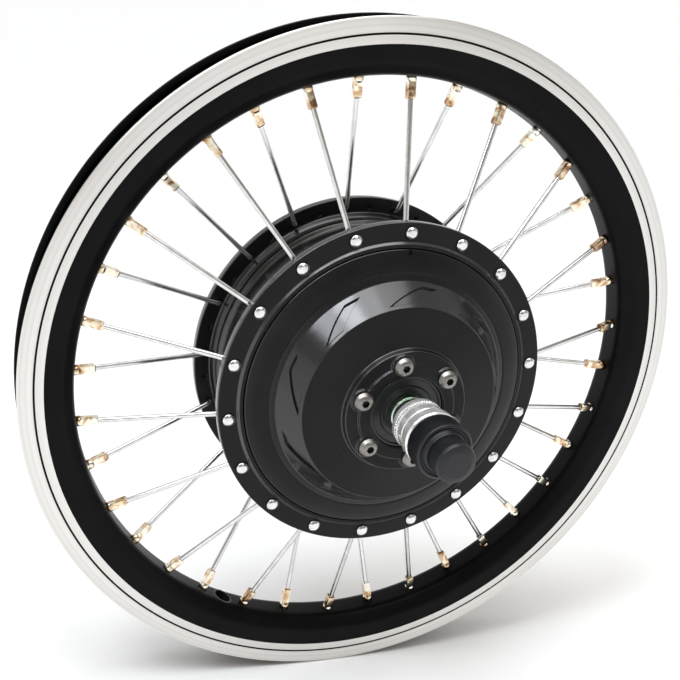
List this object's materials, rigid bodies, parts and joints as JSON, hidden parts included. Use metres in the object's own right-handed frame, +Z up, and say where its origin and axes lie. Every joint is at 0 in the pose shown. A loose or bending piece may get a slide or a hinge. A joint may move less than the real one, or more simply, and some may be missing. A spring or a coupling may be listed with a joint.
{
  "type": "hub motor wheel",
  "caption": "Small spoked bicycle wheel with a geared hub motor, brake-disc seat, machined-track rim and a threaded axle",
  "frame": {"origin": "centre of the wheel, on the axle's axis and midway between the rim's two sides", "axes": "+Y along the axle towards the freewheel side, -Y towards the brake-disc side, +Z up"},
  "size_m": [0.3158, 0.1894, 0.3158],
  "materials": {
    "rim_paint": "satin black paint, machined silver brake tracks",
    "spoke_steel": "polished stainless",
    "nipple_plate": "nickel-plated brass",
    "hub_paint": "matte black powder coat",
    "bolt_steel": "stainless, satin",
    "plated_steel": "bright plate",
    "zinc_steel": "zinc plate with a green tint",
    "cap_rubber": "soft black",
    "seal_rubber": "black, slightly glossy",
    "bearing_steel": "ground",
    "gear_steel": "oiled",
    "gear_nylon": "natural nylon",
    "carrier_alloy": "machined",
    "bronze": "sintered bronze",
    "rotor_steel": "zinc plate",
    "magnet": "nickel-plated magnet",
    "lamination": "laminated electrical steel",
    "copper": "enamelled copper wire",
    "board": "circuit board",
    "axle_steel": "black-oxide and machined steel"
  },
  "bodies": {
    "axle": {"axle": "axle_steel", "near_collar": "zinc_steel", "far_collar": "zinc_steel", "near_lock_washer": "plated_steel", "far_lock_washer": "plated_steel", "near_spacer": "plated_steel", "far_spacer": "plated_steel", "near_axle_nut": "plated_steel", "far_axle_nut": "plated_steel", "near_nut_cap": "cap_rubber", "cable_grommet": "seal_rubber", "near_bearing_inner": "bearing_steel", "far_bearing_inner": "bearing_steel", "rotor_bearing_inner": "bearing_steel", "planet_bearing_inner": "bearing_steel", "planet_bearing_balls": "bearing_steel", "planet_carrier": "carrier_alloy", "planet_pins": "gear_steel", "pin_circlips": "gear_steel", "clutch_hub": "gear_steel", "clutch_ring": "gear_steel", "clutch_rollers": "bearing_steel", "stator_core": "lamination", "stator_windings": "copper", "stator_hub": "carrier_alloy", "stator_key": "gear_steel", "hall_board": "board"},
    "wheel": {"rim": "rim_paint", "valve_sleeve": "seal_rubber", "near_spokes": "spoke_steel", "far_spokes": "spoke_steel", "spoke_nipples": "nipple_plate", "hub_shell": "hub_paint", "near_cover": "hub_paint", "far_cover": "hub_paint", "disc_bolts": "bolt_steel", "cover_screws": "bolt_steel", "ring_gear": "gear_steel", "ring_gear_screws": "bolt_steel", "near_bearing_outer": "bearing_steel", "near_bearing_balls": "bearing_steel", "far_bearing_outer": "bearing_steel", "far_bearing_balls": "bearing_steel", "near_seal": "seal_rubber", "far_seal": "seal_rubber"},
    "rotor": {"rotor_can": "rotor_steel", "rotor_magnets": "magnet", "sun_gear": "gear_steel", "sun_bush": "bronze", "rotor_bearing_outer": "bearing_steel", "rotor_bearing_balls": "bearing_steel"},
    "planet_1": {"planet_gear_1": "gear_nylon", "planet_bearing_outer_1": "bearing_steel"},
    "planet_2": {"planet_gear_2": "gear_nylon", "planet_bearing_outer_2": "bearing_steel"},
    "planet_3": {"planet_gear_3": "gear_nylon", "planet_bearing_outer_3": "bearing_steel"}
  },
  "joints": [
    {"name": "wheel_spin", "type": "hinge", "parent": "axle", "child": "wheel", "pos_m": [0, 0, 0], "axis": [0, 1, 0], "continuous": true},
    {"name": "rotor_spin", "type": "hinge", "parent": "axle", "child": "rotor", "pos_m": [0, 0, 0], "axis": [0, 1, 0], "continuous": true},
    {"name": "planet_1_spin", "type": "hinge", "parent": "axle", "child": "planet_1", "pos_m": [0, 0, 0.0285], "axis": [0, 1, 0], "continuous": true},
    {"name": "planet_2_spin", "type": "hinge", "parent": "axle", "child": "planet_2", "pos_m": [-0.02468, 0, -0.01425], "axis": [0, 1, 0], "continuous": true},
    {"name": "planet_3_spin", "type": "hinge", "parent": "axle", "child": "planet_3", "pos_m": [0.02468, 0, -0.01425], "axis": [0, 1, 0], "continuous": true}
  ],
  "couplings": [
    {"joint": "rotor_spin", "follows": "wheel_spin", "ratio": -4.4286},
    {"joint": "planet_1_spin", "follows": "wheel_spin", "ratio": 2.5833},
    {"joint": "planet_2_spin", "follows": "wheel_spin", "ratio": 2.5833},
    {"joint": "planet_3_spin", "follows": "wheel_spin", "ratio": 2.5833}
  ]
}
